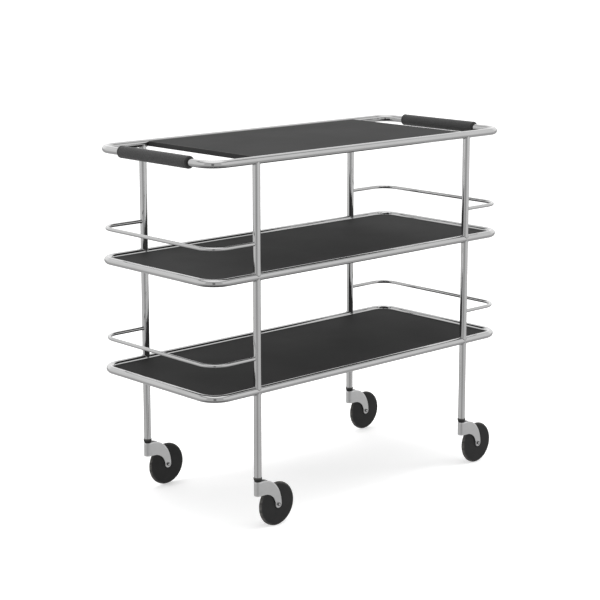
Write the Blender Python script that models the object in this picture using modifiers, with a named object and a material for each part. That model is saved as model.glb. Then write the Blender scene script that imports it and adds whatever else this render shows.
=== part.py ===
"""Food service trolley: a chromed tube frame with three levels on four swivel casters.

Metres, +Z up. The origin is on the floor under the middle of the trolley, +X runs along its
length and the front is the -Y side. Each named object is one physical piece.
"""
import math

import bmesh
import bpy
from mathutils import Matrix, Vector

# --- Driving dimensions: frame ---------------------------------------------------------------
RAIL_HALF_LENGTH = 0.488  # middle of the trolley to the centreline of an end tube
RAIL_HALF_WIDTH = 0.208  # middle of the trolley to the centreline of a long tube
TOP_RAIL_HEIGHT = 0.874  # floor to the centreline of the top rail
SHELF_SPACING = 0.268  # one rail's centreline to the next one's
CORNER_RADIUS = 0.044  # bend radius of the rails' corners, on the centreline
TUBE_RADIUS = 0.009
TUBE_WALL = 0.0015
POST_INSET = 0.133  # end tube's centreline to the post's axis
VENT_RADIUS = 0.004  # hole that joins a post's bore to a rail's bore
GALLERY_RADIUS = 0.0045  # solid rod of the gallery rails
GALLERY_HEIGHT = 0.077  # a shelf rail's centreline up to its gallery rail's

# --- Driving dimensions: panels and grips ----------------------------------------------------
PANEL_DROP = 0.0065  # rail centreline down to a panel's underside
TOP_PANEL_THICKNESS = 0.012
SHELF_THICKNESS = 0.008
PANEL_END_GAP = 0.001  # top panel's left end to the posts beside it
TOP_PANEL_EXTRA = 0.010  # how much further the top panel reaches at its right end
TOP_PANEL_CORNER = 0.003
PANEL_EDGE = 0.001  # chamfer round the panels' faces
TAB_SIZE = Vector((0.020, 0.018, 0.002))  # welded tab that carries a panel
TAB_REACH = 0.52  # a rail's centreline to a tab's outer end, as a share of the tube's radius
TAB_END_DISTANCE = 0.040  # panel's end to the middle of its last tab
GRIP_RADIUS = 0.015
GRIP_HALF_LENGTH = 0.1255
GRIP_OFFSET = 0.009  # the left grip's middle towards the front, and the right grip's towards the rear
GRIP_ROUNDING = 0.004

# --- Driving dimensions: casters -------------------------------------------------------------
WHEEL_RADIUS = 0.053
TREAD_HALF_WIDTH = 0.005
TREAD_DEPTH = 0.006
HUB_RADIUS = 0.011
HUB_HALF_WIDTH = 0.0066
FACE_CROWN = 0.65  # how full the wheel's face is halfway out: 0 is the tread's width, 1 the hub's
WHEEL_TO_SWIVEL_AXIS = 0.0045  # the wheel's rear edge to the swivel axis
FORK_HALF_WIDTH = 0.00925  # to the outer face of a cheek
FORK_SHEET = 0.002
FORK_TIP_RADIUS = 0.009
FORK_SHOULDER = 0.014  # swivel axis to where the fork's edges start to curve down
BARREL_ABOVE_AXLE = 0.032
BARREL_LENGTH = 0.0345
COLLAR_HEIGHT = 0.0099
COLLAR_FLARE = 0.0012  # how far the collar stands out past the post
COLLAR_TAPER = 0.0015
SOCKET_LENGTH = 0.032  # part of the socket that plugs the post
STEM_RADIUS = 0.004
STEM_HEAD_RADIUS = 0.006
STEM_HEAD_HEIGHT = 0.003
STEM_GRIP = 0.026  # length of the stem that the socket holds
AXLE_RADIUS = 0.0025
WHEEL_BUSH_RADIUS = 0.006
BOLT_HEAD_RADIUS = 0.0044
NUT_CORNER_RADIUS = 0.0046
FASTENER_HEIGHT = 0.0032
BOLT_END = 0.0005  # thread that shows past the nut

# --- Clearances and facets -------------------------------------------------------------------
GAP = 0.0003  # between pieces that touch
SIDE_PLAY = 0.0004  # between a cheek and the wheel's bush
WELD = 0.000001
TUBE_BEVEL = 4  # 12 sides
ROD_BEVEL = 3  # 10 sides
POST_SIDES = 12
COPE_SIDES = 16
CORNER_STEPS = 4
VENT_SIDES = 8
BORE_SIDES = 12
TURN_STEPS = 12
GRIP_STEPS = 16
WHEEL_STEPS = 28
OUTER_ARC_STEPS = 7  # fork's upper edge
ARC_STEPS = 6  # fork's lower edge and tip, and the wheel's tread
NOSE_STEPS = 8  # fork's fold round the barrel
ROUNDING_STEPS = 3  # grip's ends
BEVEL_ANGLE = math.radians(50.0)  # edges sharper than this are chamfered
SMOOTH_ANGLE = math.radians(40.0)  # edges sharper than this stay sharp in the shading

# --- Derived sizes ---------------------------------------------------------------------------
POST_X = RAIL_HALF_LENGTH - POST_INSET
BORE_RADIUS = TUBE_RADIUS - TUBE_WALL
RAIL_HEIGHTS = {
    "top": TOP_RAIL_HEIGHT,
    "middle": TOP_RAIL_HEIGHT - SHELF_SPACING,
    "lower": TOP_RAIL_HEIGHT - 2 * SHELF_SPACING,
}
PANEL_HALF_WIDTH = RAIL_HALF_WIDTH - TUBE_RADIUS - GAP
SHELF_HALF_LENGTH = RAIL_HALF_LENGTH - TUBE_RADIUS - GAP
TOP_PANEL_HALF_LENGTH = POST_X - TUBE_RADIUS - PANEL_END_GAP + TOP_PANEL_EXTRA / 2
SWIVEL_TRAIL = WHEEL_RADIUS + WHEEL_TO_SWIVEL_AXIS
BARREL_BOTTOM = WHEEL_RADIUS + BARREL_ABOVE_AXLE
FORK_TOP = BARREL_BOTTOM + BARREL_LENGTH
POST_BOTTOM = FORK_TOP + COLLAR_HEIGHT + 2 * GAP
FORK_INNER = FORK_HALF_WIDTH - FORK_SHEET
CORNERS = {
    "front_left": (-POST_X, -RAIL_HALF_WIDTH),
    "front_right": (POST_X, -RAIL_HALF_WIDTH),
    "rear_left": (-POST_X, RAIL_HALF_WIDTH),
    "rear_right": (POST_X, RAIL_HALF_WIDTH),
}
ALONG_Y = (-math.pi / 2, 0.0, 0.0)  # turns a piece's own +Z to +Y
UPRIGHT = (math.pi / 2, 0.0, 0.0)  # stands a flat outline up in the XZ plane


# --- Scene, materials and objects ------------------------------------------------------------
def clear_scene():
    """Remove every object that the start-up scene holds."""
    for item in list(bpy.data.objects):
        bpy.data.objects.remove(item, do_unlink=True)


def make_collection(name):
    """Add a collection to the scene."""
    collection = bpy.data.collections.new(name)
    bpy.context.scene.collection.children.link(collection)
    return collection


def make_material(name, colour, roughness, metallic=0.0):
    """Make a Principled material from a linear colour, a roughness and a metallic value."""
    material = bpy.data.materials.new(name)
    material.use_nodes = True
    shader = material.node_tree.nodes["Principled BSDF"]
    shader.inputs["Base Color"].default_value = (*colour, 1.0)
    shader.inputs["Roughness"].default_value = roughness
    shader.inputs["Metallic"].default_value = metallic
    material.diffuse_color = (*colour, 1.0)
    return material


def place(name, mesh, collection, location=(0.0, 0.0, 0.0), rotation=(0.0, 0.0, 0.0), parent=None):
    """Put a mesh in the scene as an object, placed from its parent if it has one."""
    piece = bpy.data.objects.new(name, mesh)
    piece.location = location
    piece.rotation_euler = rotation
    piece.parent = parent
    collection.objects.link(piece)
    return piece


def place_cutter(name, mesh, cutters, location=(0.0, 0.0, 0.0), rotation=(0.0, 0.0, 0.0)):
    """Put a Boolean's second shape in the scene, drawn as wire and never rendered."""
    cutter = place(name, mesh, cutters, location, rotation)
    cutter.hide_render = True
    cutter.display_type = "WIRE"
    return cutter


def add_boolean(piece, other, operation):
    """Cut, join or intersect a piece with another object."""
    modifier = piece.modifiers.new(f"{operation.lower()} {other.name}", "BOOLEAN")
    modifier.operation = operation
    modifier.solver = "EXACT"
    modifier.object = other


def add_solidify(piece, thickness, offset):
    """Thicken a surface: offset -1 grows inwards and 0 grows both ways."""
    modifier = piece.modifiers.new("wall", "SOLIDIFY")
    modifier.thickness = thickness
    modifier.offset = offset
    modifier.use_even_offset = True


def add_bevel(piece, width):
    """Chamfer the sharp edges of a piece."""
    modifier = piece.modifiers.new("edge", "BEVEL")
    modifier.width = width
    modifier.segments = 1
    modifier.limit_method = "ANGLE"
    modifier.angle_limit = BEVEL_ANGLE


def evaluated_mesh(piece, name):
    """Make a new mesh from a piece with its modifiers applied."""
    bpy.context.view_layer.update()
    depsgraph = bpy.context.evaluated_depsgraph_get()
    mesh = bpy.data.meshes.new_from_object(piece.evaluated_get(depsgraph))
    mesh.name = name
    return mesh


def finish_mesh(mesh, material):
    """Give a mesh its material and smooth shading with sharp edges kept."""
    mesh.materials.clear()
    mesh.materials.append(material)
    mesh.shade_smooth()
    mesh.set_sharp_from_angle(angle=SMOOTH_ANGLE)
    return mesh


def bake(piece, name, material):
    """Turn a finished master and its modifiers into one mesh that several objects share."""
    mesh = finish_mesh(evaluated_mesh(piece, name), material)
    bpy.data.objects.remove(piece, do_unlink=True)
    return mesh


# --- Shapes ----------------------------------------------------------------------------------
def arc(centre, radii, start, end, steps):
    """List the points of an elliptical arc from one angle to another, in radians."""
    angles = [start + (end - start) * step / steps for step in range(steps + 1)]
    return [
        (centre[0] + radii[0] * math.cos(angle), centre[1] + radii[1] * math.sin(angle))
        for angle in angles
    ]


def rounded_rectangle(half_length, half_width, radius, steps=CORNER_STEPS):
    """List the points of a rounded rectangle, anticlockwise."""
    points = []
    quarter = math.pi / 2
    for turn, (sign_x, sign_y) in enumerate([(1, 1), (-1, 1), (-1, -1), (1, -1)]):
        centre = (sign_x * (half_length - radius), sign_y * (half_width - radius))
        points += arc(centre, (radius, radius), turn * quarter, (turn + 1) * quarter, steps)
    return points


def curve_mesh(name, points, cyclic=False, flat=False, bevel=0.0, bevel_resolution=0, extrude=0.0):
    """Make a welded mesh from a poly curve: a tube, a ribbon or an extruded flat outline."""
    curve = bpy.data.curves.new(name, "CURVE")
    curve.dimensions = "2D" if flat else "3D"
    curve.fill_mode = "BOTH" if flat and cyclic else ("NONE" if flat else "FULL")
    curve.bevel_depth = bevel
    curve.bevel_resolution = bevel_resolution
    curve.extrude = extrude
    curve.use_fill_caps = bevel > 0.0 and not cyclic
    spline = curve.splines.new("POLY")
    spline.points.add(len(points) - 1)
    for point, position in zip(spline.points, points):
        point.co = (position[0], position[1], 0.0, 1.0)
    spline.use_cyclic_u = cyclic
    holder = bpy.data.objects.new(name, curve)
    bpy.context.scene.collection.objects.link(holder)
    mesh = evaluated_mesh(holder, name)
    bpy.data.objects.remove(holder, do_unlink=True)
    work = bmesh.new()
    work.from_mesh(mesh)
    bmesh.ops.remove_doubles(work, verts=work.verts, dist=WELD)
    bmesh.ops.recalc_face_normals(work, faces=work.faces)
    work.to_mesh(mesh)
    work.free()
    return mesh


def cylinders_mesh(name, centres, radius, length, sides, capped=True):
    """Make upright cylinders of one size, each centred on a given point."""
    work = bmesh.new()
    for centre in centres:
        bmesh.ops.create_cone(work, cap_ends=capped, segments=sides, radius1=radius, radius2=radius,
                              depth=length, matrix=Matrix.Translation(centre))
    mesh = bpy.data.meshes.new(name)
    work.to_mesh(mesh)
    work.free()
    return mesh


def boxes_mesh(name, boxes):
    """Make boxes, each given by its centre and its size."""
    work = bmesh.new()
    for centre, size in boxes:
        matrix = Matrix.Translation(centre) @ Matrix.Diagonal((*size, 1.0))
        bmesh.ops.create_cube(work, size=1.0, matrix=matrix)
    mesh = bpy.data.meshes.new(name)
    work.to_mesh(mesh)
    work.free()
    return mesh


def turned_mesh(name, profile, material, steps=TURN_STEPS, closed=True):
    """Turn a profile of (radius, height) points about Z: a closed loop, or one that meets the axis."""
    mesh = bpy.data.meshes.new(name)
    points = [(radius, 0.0, height) for radius, height in profile]
    edges = [(index, index + 1) for index in range(len(points) - 1)]
    if closed:
        edges.append((len(points) - 1, 0))
    mesh.from_pydata(points, edges, [])
    master = place(name, mesh, bpy.context.scene.collection)
    modifier = master.modifiers.new("turn", "SCREW")
    modifier.axis = "Z"
    modifier.angle = 2 * math.pi
    modifier.steps = steps
    modifier.render_steps = steps
    modifier.use_merge_vertices = True
    modifier.merge_threshold = 0.00001
    return bake(master, name, material)


# --- Frame -----------------------------------------------------------------------------------
def tab_boxes(panel_half_length, with_end_tabs):
    """List the tabs under a panel: three on each long tube, and one on each end tube if wanted."""
    height = -PANEL_DROP - GAP - TAB_SIZE.z / 2
    reach = TUBE_RADIUS * TAB_REACH
    middle_y = RAIL_HALF_WIDTH - reach - TAB_SIZE.y / 2
    end_x = panel_half_length - TAB_END_DISTANCE
    boxes = []
    for side in (-1, 1):
        for x in (-end_x, 0.0, end_x):
            boxes.append((Vector((x, side * middle_y, height)), TAB_SIZE))
        if with_end_tabs:
            middle_x = RAIL_HALF_LENGTH - reach - TAB_SIZE.y / 2
            size = Vector((TAB_SIZE.y, TAB_SIZE.x, TAB_SIZE.z))
            boxes.append((Vector((side * middle_x, 0.0, height)), size))
    return boxes


def build_rail(level, trolley, cutters, material):
    """Build one closed rail: bent tube, vent holes under and over it, and welded panel tabs."""
    height = RAIL_HEIGHTS[level]
    outline = rounded_rectangle(RAIL_HALF_LENGTH, RAIL_HALF_WIDTH, CORNER_RADIUS)
    mesh = curve_mesh(f"{level}_rail", outline, cyclic=True, bevel=TUBE_RADIUS,
                      bevel_resolution=TUBE_BEVEL)
    rail = place(f"{level}_rail", finish_mesh(mesh, material), trolley, (0.0, 0.0, height))
    add_solidify(rail, TUBE_WALL, -1.0)
    is_top = level == "top"
    reach = 2 * TUBE_RADIUS
    length = reach if is_top else 2 * reach  # the top rail has posts below it only
    shift = -reach / 2 if is_top else 0.0
    centres = [Vector((x, y, shift)) for x, y in CORNERS.values()]
    vents = cylinders_mesh(f"{level}_vents", centres, VENT_RADIUS, length, VENT_SIDES)
    add_boolean(rail, place_cutter(f"{level}_vents", vents, cutters, (0.0, 0.0, height)), "DIFFERENCE")
    half_length = TOP_PANEL_HALF_LENGTH if is_top else SHELF_HALF_LENGTH
    tabs = boxes_mesh(f"{level}_tabs", tab_boxes(half_length, not is_top))
    add_boolean(rail, place_cutter(f"{level}_tabs", tabs, cutters, (0.0, 0.0, height)), "UNION")


def build_post_mesh(name, bottom, top, cope_bottom, cutters, material):
    """Make an upright tube, with its ends hollowed to sit on the rails that they meet."""
    length = top - bottom
    centre = Vector((0.0, 0.0, (top + bottom) / 2))
    shell = cylinders_mesh(name, [centre], TUBE_RADIUS, length, POST_SIDES, capped=False)
    post = place(name, shell, bpy.context.scene.collection)
    add_solidify(post, TUBE_WALL, -1.0)
    for end in ([bottom, top] if cope_bottom else [top]):
        cope = cylinders_mesh(f"{name}_cope", [Vector()], TUBE_RADIUS + GAP, 4 * TUBE_RADIUS, COPE_SIDES)
        lying = place_cutter(f"{name}_cope", cope, cutters, (0.0, 0.0, end), (0.0, math.pi / 2, 0.0))
        add_boolean(post, lying, "DIFFERENCE")
    return bake(post, name, material)


def build_posts(trolley, cutters, material):
    """Build the twelve lengths of post between the rails and down to the casters."""
    between = build_post_mesh("post_between_rails", 0.0, SHELF_SPACING, True, cutters, material)
    lower = build_post_mesh("post_to_caster", POST_BOTTOM, RAIL_HEIGHTS["lower"], False, cutters, material)
    for corner, (x, y) in CORNERS.items():
        place(f"upper_post_{corner}", between, trolley, (x, y, RAIL_HEIGHTS["middle"]))
        place(f"middle_post_{corner}", between, trolley, (x, y, RAIL_HEIGHTS["lower"]))
        place(f"lower_post_{corner}", lower, trolley, (x, y, 0.0))


def build_galleries(trolley, cutters, material):
    """Build the rod round each end of the two shelves, from the front post to the rear one."""
    outline = rounded_rectangle(RAIL_HALF_LENGTH, RAIL_HALF_WIDTH, CORNER_RADIUS)
    right_end = [point for point in outline if point[0] > 0.0]
    rear = right_end[: len(right_end) // 2]
    front = right_end[len(right_end) // 2 :]
    path = [(POST_X, -RAIL_HALF_WIDTH), *front, *rear, (POST_X, RAIL_HALF_WIDTH)]
    rod = curve_mesh("gallery", path, bevel=GALLERY_RADIUS, bevel_resolution=ROD_BEVEL)
    master = place("gallery", rod, bpy.context.scene.collection)
    centres = [Vector((POST_X, side * RAIL_HALF_WIDTH, 0.0)) for side in (-1, 1)]
    cope = cylinders_mesh("gallery_cope", centres, TUBE_RADIUS + GAP, 4 * TUBE_RADIUS, COPE_SIDES)
    add_boolean(master, place_cutter("gallery_cope", cope, cutters), "DIFFERENCE")
    mesh = bake(master, "gallery", material)
    for level in ("middle", "lower"):
        height = RAIL_HEIGHTS[level] + GALLERY_HEIGHT
        place(f"{level}_gallery_right", mesh, trolley, (0.0, 0.0, height))
        place(f"{level}_gallery_left", mesh, trolley, (0.0, 0.0, height), (0.0, 0.0, math.pi))


# --- Panels and grips ------------------------------------------------------------------------
def build_panel(name, level, half_length, corner, thickness, trolley, material, shift=0.0):
    """Build a flat board that lies on a rail's tabs, its middle shifted along X."""
    outline = rounded_rectangle(half_length, PANEL_HALF_WIDTH, corner)
    mesh = curve_mesh(name, outline, cyclic=True, flat=True, extrude=thickness / 2)
    height = RAIL_HEIGHTS[level] - PANEL_DROP + thickness / 2
    panel = place(name, finish_mesh(mesh, material), trolley, (shift, 0.0, height))
    add_bevel(panel, PANEL_EDGE)


def build_panels(trolley, material):
    """Build the top panel, short of the end tubes, and the two shelves that fill their rails."""
    build_panel("top_panel", "top", TOP_PANEL_HALF_LENGTH, TOP_PANEL_CORNER, TOP_PANEL_THICKNESS,
                trolley, material, TOP_PANEL_EXTRA / 2)
    inner_corner = CORNER_RADIUS - TUBE_RADIUS - GAP
    for level in ("middle", "lower"):
        build_panel(f"{level}_shelf", level, SHELF_HALF_LENGTH, inner_corner, SHELF_THICKNESS,
                    trolley, material)


def build_grips(trolley, material):
    """Build the sleeve on each end tube of the top rail."""
    shoulder = (GRIP_RADIUS - GRIP_ROUNDING, GRIP_HALF_LENGTH - GRIP_ROUNDING)
    rounding = (GRIP_ROUNDING, GRIP_ROUNDING)
    upper = arc(shoulder, rounding, math.pi / 2, 0.0, ROUNDING_STEPS)
    lower = [(radius, -height) for radius, height in reversed(upper)]
    bore = TUBE_RADIUS + GAP
    profile = [(bore, GRIP_HALF_LENGTH), *upper, *lower, (bore, -GRIP_HALF_LENGTH)]
    mesh = turned_mesh("grip", profile, material, steps=GRIP_STEPS)
    for side, sign in (("left", -1), ("right", 1)):
        where = (sign * RAIL_HALF_LENGTH, sign * GRIP_OFFSET, RAIL_HEIGHTS["top"])
        place(f"{side}_grip", mesh, trolley, where, ALONG_Y)


# --- Casters: meshes are made about the swivel axis, on the floor, trailing to +X ------------
def socket_mesh(material):
    """Make the plastic socket: a collar under the post and a plug inside it."""
    bottom = FORK_TOP + GAP
    top = POST_BOTTOM - GAP
    bore = STEM_RADIUS + GAP
    plug = BORE_RADIUS - GAP
    collar = TUBE_RADIUS + COLLAR_FLARE
    profile = [
        (bore, top + SOCKET_LENGTH), (plug, top + SOCKET_LENGTH), (plug, top), (collar, top),
        (collar, top - COLLAR_HEIGHT / 3), (collar - COLLAR_TAPER, bottom), (bore, bottom),
    ]
    return turned_mesh("stem_socket", profile, material)


def stem_mesh(material):
    """Make the steel stem, with the head that carries the fork's barrel."""
    bottom = BARREL_BOTTOM + GAP
    shoulder = bottom + STEM_HEAD_HEIGHT
    top = POST_BOTTOM + STEM_GRIP
    profile = [
        (0.0, top), (STEM_RADIUS, top), (STEM_RADIUS, shoulder), (STEM_HEAD_RADIUS, shoulder),
        (STEM_HEAD_RADIUS, bottom), (0.0, bottom),
    ]
    return turned_mesh("caster_stem", profile, material, closed=False)


def swivel_bush_mesh(material):
    """Make the bush that turns round the stem inside the fork's barrel."""
    bottom = BARREL_BOTTOM + STEM_HEAD_HEIGHT + 2 * GAP
    top = FORK_TOP - GAP
    bore = STEM_RADIUS + GAP
    outer = FORK_INNER - GAP
    return turned_mesh("swivel_bush", [(bore, top), (outer, top), (outer, bottom), (bore, bottom)], material)


def fork_outline():
    """List the fork's side outline in X and Z: two quarter ellipses that meet the round tip."""
    quarter = math.pi / 2
    centre = (FORK_SHOULDER, WHEEL_RADIUS)
    outer = (SWIVEL_TRAIL + FORK_TIP_RADIUS - FORK_SHOULDER, FORK_TOP - WHEEL_RADIUS)
    inner = (SWIVEL_TRAIL - FORK_TIP_RADIUS - FORK_SHOULDER, BARREL_ABOVE_AXLE)
    tip = (FORK_TIP_RADIUS, FORK_TIP_RADIUS)
    back = -2 * FORK_HALF_WIDTH
    return [
        (back, FORK_TOP), *arc(centre, outer, quarter, 0.0, OUTER_ARC_STEPS),
        *arc((SWIVEL_TRAIL, WHEEL_RADIUS), tip, 0.0, -math.pi, ARC_STEPS)[1:],
        *arc(centre, inner, 0.0, quarter, ARC_STEPS)[1:], (back, BARREL_BOTTOM),
    ]


def fork_mesh(cutters, material):
    """Make the fork: a sheet folded round the barrel, trimmed to its outline and drilled."""
    middle = FORK_HALF_WIDTH - FORK_SHEET / 2
    end = SWIVEL_TRAIL + 2 * FORK_TIP_RADIUS
    nose = arc((0.0, 0.0), (middle, middle), -math.pi / 2, -3 * math.pi / 2, NOSE_STEPS)
    ribbon = curve_mesh("fork", [(end, -middle), *nose, (end, middle)], flat=True, extrude=FORK_TOP)
    fork = place("fork", ribbon, bpy.context.scene.collection)
    add_solidify(fork, FORK_SHEET, 0.0)
    outline = curve_mesh("fork_outline", fork_outline(), cyclic=True, flat=True, extrude=2 * FORK_HALF_WIDTH)
    add_boolean(fork, place_cutter("fork_outline", outline, cutters, rotation=UPRIGHT), "INTERSECT")
    hole = cylinders_mesh("fork_hole", [Vector()], AXLE_RADIUS + GAP, 4 * FORK_HALF_WIDTH, BORE_SIDES)
    axle = (SWIVEL_TRAIL, 0.0, WHEEL_RADIUS)
    add_boolean(fork, place_cutter("fork_hole", hole, cutters, axle, ALONG_Y), "DIFFERENCE")
    return bake(fork, "caster_fork", material)


def axle_bolt_mesh(material):
    """Make the axle bolt along its own Z, its head at +Z and its thread's end at -Z."""
    head_face = FORK_HALF_WIDTH + GAP
    head_top = head_face + FASTENER_HEIGHT
    crown = FASTENER_HEIGHT / 3
    end = -head_top
    profile = [
        (0.0, head_top), (BOLT_HEAD_RADIUS - crown, head_top), (BOLT_HEAD_RADIUS, head_top - crown),
        (BOLT_HEAD_RADIUS, head_face), (AXLE_RADIUS, head_face), (AXLE_RADIUS, end), (0.0, end),
    ]
    return turned_mesh("axle_bolt", profile, material, closed=False)


def axle_nut_mesh(cutters, material):
    """Make the hexagon nut, centred on its own origin with its bore along Z."""
    thickness = FASTENER_HEIGHT - BOLT_END
    nut = place("nut", cylinders_mesh("nut", [Vector()], NUT_CORNER_RADIUS, thickness, 6),
                bpy.context.scene.collection)
    bore = cylinders_mesh("nut_bore", [Vector()], AXLE_RADIUS + GAP, 3 * thickness, BORE_SIDES)
    add_boolean(nut, place_cutter("nut_bore", bore, cutters), "DIFFERENCE")
    return bake(nut, "axle_nut", material)


def wheel_mesh(material):
    """Make the wheel along its own Z: bored hub, domed faces and a rounded tread."""
    bore = WHEEL_BUSH_RADIUS + GAP
    rim = WHEEL_RADIUS - TREAD_DEPTH
    face_middle = ((HUB_RADIUS + rim) / 2, TREAD_HALF_WIDTH + FACE_CROWN * (HUB_HALF_WIDTH - TREAD_HALF_WIDTH))
    tread = arc((rim, 0.0), (TREAD_DEPTH, TREAD_HALF_WIDTH), math.pi / 2, -math.pi / 2, ARC_STEPS)
    upper = [(bore, HUB_HALF_WIDTH), (HUB_RADIUS, HUB_HALF_WIDTH), face_middle]
    lower = [(radius, -height) for radius, height in reversed(upper)]
    return turned_mesh("wheel", [*upper, *tread, *lower], material, steps=WHEEL_STEPS)


def wheel_bush_mesh(material):
    """Make the sleeve in the wheel's hub that runs on the axle bolt."""
    half = FORK_INNER - SIDE_PLAY
    bore = AXLE_RADIUS + GAP
    outer = WHEEL_BUSH_RADIUS
    return turned_mesh("wheel_bush", [(bore, half), (outer, half), (outer, -half), (bore, -half)], material)


def build_casters(trolley, cutters, materials):
    """Build four casters; an empty stands on each joint's axis and carries what turns on it."""
    chrome, satin, plastic, nylon, zinc, rubber = (
        materials[name] for name in ("chrome", "satin", "plastic", "nylon", "zinc", "rubber"))
    socket = socket_mesh(plastic)
    stem = stem_mesh(chrome)
    fork = fork_mesh(cutters, satin)
    swivel_bush = swivel_bush_mesh(plastic)
    bolt = axle_bolt_mesh(zinc)
    nut = axle_nut_mesh(cutters, zinc)
    wheel = wheel_mesh(rubber)
    wheel_bush = wheel_bush_mesh(nylon)
    nut_y = -(FORK_HALF_WIDTH + GAP + (FASTENER_HEIGHT - BOLT_END) / 2)
    for corner, (x, y) in CORNERS.items():
        swivel_axis = place(f"swivel_axis_{corner}", None, trolley, (x, y, 0.0))
        axle_axis = place(f"axle_axis_{corner}", None, trolley, (SWIVEL_TRAIL, 0.0, WHEEL_RADIUS),
                          parent=swivel_axis)
        place(f"stem_socket_{corner}", socket, trolley, (x, y, 0.0))
        place(f"caster_stem_{corner}", stem, trolley, (x, y, 0.0))
        place(f"caster_fork_{corner}", fork, trolley, parent=swivel_axis)
        place(f"swivel_bush_{corner}", swivel_bush, trolley, parent=swivel_axis)
        place(f"axle_bolt_{corner}", bolt, trolley, (SWIVEL_TRAIL, 0.0, WHEEL_RADIUS), ALONG_Y, swivel_axis)
        place(f"axle_nut_{corner}", nut, trolley, (SWIVEL_TRAIL, nut_y, WHEEL_RADIUS), ALONG_Y, swivel_axis)
        place(f"wheel_{corner}", wheel, trolley, rotation=ALONG_Y, parent=axle_axis)
        place(f"wheel_bush_{corner}", wheel_bush, trolley, rotation=ALONG_Y, parent=axle_axis)


def main():
    """Build the trolley."""
    clear_scene()
    trolley = make_collection("food_service_trolley")
    cutters = make_collection("cutters")
    materials = {
        "chrome": make_material("chromed_tube", (0.62, 0.62, 0.63), 0.12, 1.0),
        "laminate": make_material("grey_laminate", (0.066, 0.067, 0.068), 0.55),
        "leather": make_material("black_grip_sleeve", (0.030, 0.030, 0.031), 0.60),
        "satin": make_material("satin_steel_sheet", (0.50, 0.50, 0.51), 0.38, 1.0),
        "plastic": make_material("black_plastic", (0.018, 0.018, 0.019), 0.45),
        "nylon": make_material("pale_nylon", (0.62, 0.60, 0.54), 0.50),
        "zinc": make_material("zinc_plated_steel", (0.45, 0.46, 0.47), 0.32, 1.0),
        "rubber": make_material("black_wheel_rubber", (0.024, 0.024, 0.025), 0.62),
    }
    for level in RAIL_HEIGHTS:
        build_rail(level, trolley, cutters, materials["chrome"])
    build_posts(trolley, cutters, materials["chrome"])
    build_galleries(trolley, cutters, materials["chrome"])
    build_panels(trolley, materials["laminate"])
    build_grips(trolley, materials["leather"])
    build_casters(trolley, cutters, materials)


main()
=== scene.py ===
"""Food service trolley: smooth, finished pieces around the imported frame.

A chromed tube trolley with a top panel, two railed shelves, two sleeve grips and four swivel
casters. Metres, +Z up; the front is the -Y side. Every class takes its places from the frame.
"""
from __future__ import annotations

import logging
import math
import random
from dataclasses import dataclass, field
from enum import Enum
from typing import Callable, Iterable, Sequence

import bpy
from mathutils import Matrix, Vector


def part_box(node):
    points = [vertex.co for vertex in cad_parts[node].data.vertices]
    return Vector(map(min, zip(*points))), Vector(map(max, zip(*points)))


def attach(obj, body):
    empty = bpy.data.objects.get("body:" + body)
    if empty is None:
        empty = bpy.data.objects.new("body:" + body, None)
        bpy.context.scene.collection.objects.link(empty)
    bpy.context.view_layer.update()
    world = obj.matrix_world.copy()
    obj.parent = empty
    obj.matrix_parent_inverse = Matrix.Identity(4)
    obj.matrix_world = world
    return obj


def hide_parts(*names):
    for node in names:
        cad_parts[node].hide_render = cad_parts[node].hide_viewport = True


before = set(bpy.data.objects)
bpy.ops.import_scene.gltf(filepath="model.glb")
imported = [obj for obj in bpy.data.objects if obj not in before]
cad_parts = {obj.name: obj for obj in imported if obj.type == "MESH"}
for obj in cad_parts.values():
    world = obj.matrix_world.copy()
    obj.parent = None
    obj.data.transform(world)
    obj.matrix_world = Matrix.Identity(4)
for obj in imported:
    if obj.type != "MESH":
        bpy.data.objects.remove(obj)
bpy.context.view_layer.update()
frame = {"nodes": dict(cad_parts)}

LOG = logging.getLogger("trolley")
NEAR_AXIS = 0.00002  # how far off the axis a turned profile ends
FULL_TURN = 2 * math.pi
QUARTER_TURN = math.pi / 2

Point2 = tuple[float, float]
Colour = tuple[float, float, float]
Loop = list[Vector]
Mesh = bpy.types.Mesh
Socket = bpy.types.NodeSocket
Rule = Callable[[Vector], float]


class Level(Enum):
    """The three levels of the frame, by the first word of their nodes' names."""

    TOP = "top"
    MIDDLE = "middle"
    LOWER = "lower"


class Corner(Enum):
    """The four corners where the posts stand."""

    FRONT_LEFT = "front_left"
    FRONT_RIGHT = "front_right"
    REAR_LEFT = "rear_left"
    REAR_RIGHT = "rear_right"


class End(Enum):
    """The two ends of the trolley; the value is the sign of X."""

    LEFT = -1
    RIGHT = 1


# --- Outlines and meshes ---------------------------------------------------------------------
def angles(steps: int, offset: float = 0.0) -> list[float]:
    """List even angles round a full turn, the first one moved by a share of a step."""
    return [FULL_TURN * (step + offset) / steps for step in range(steps)]


def arc(centre: Point2, radii: Point2, start: float, end: float, steps: int) -> list[Point2]:
    """List the points of an elliptical arc.

    Args:
        centre: The ellipse's centre.
        radii: Its half-axes along the first and the second coordinate.
        start: The first point's angle, in radians.
        end: The last point's angle, in radians.
        steps: How many parts the arc is cut into.

    Returns:
        The points, both ends included.
    """
    turns = [start + (end - start) * step / steps for step in range(steps + 1)]
    return [(centre[0] + radii[0] * math.cos(a), centre[1] + radii[1] * math.sin(a)) for a in turns]


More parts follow.
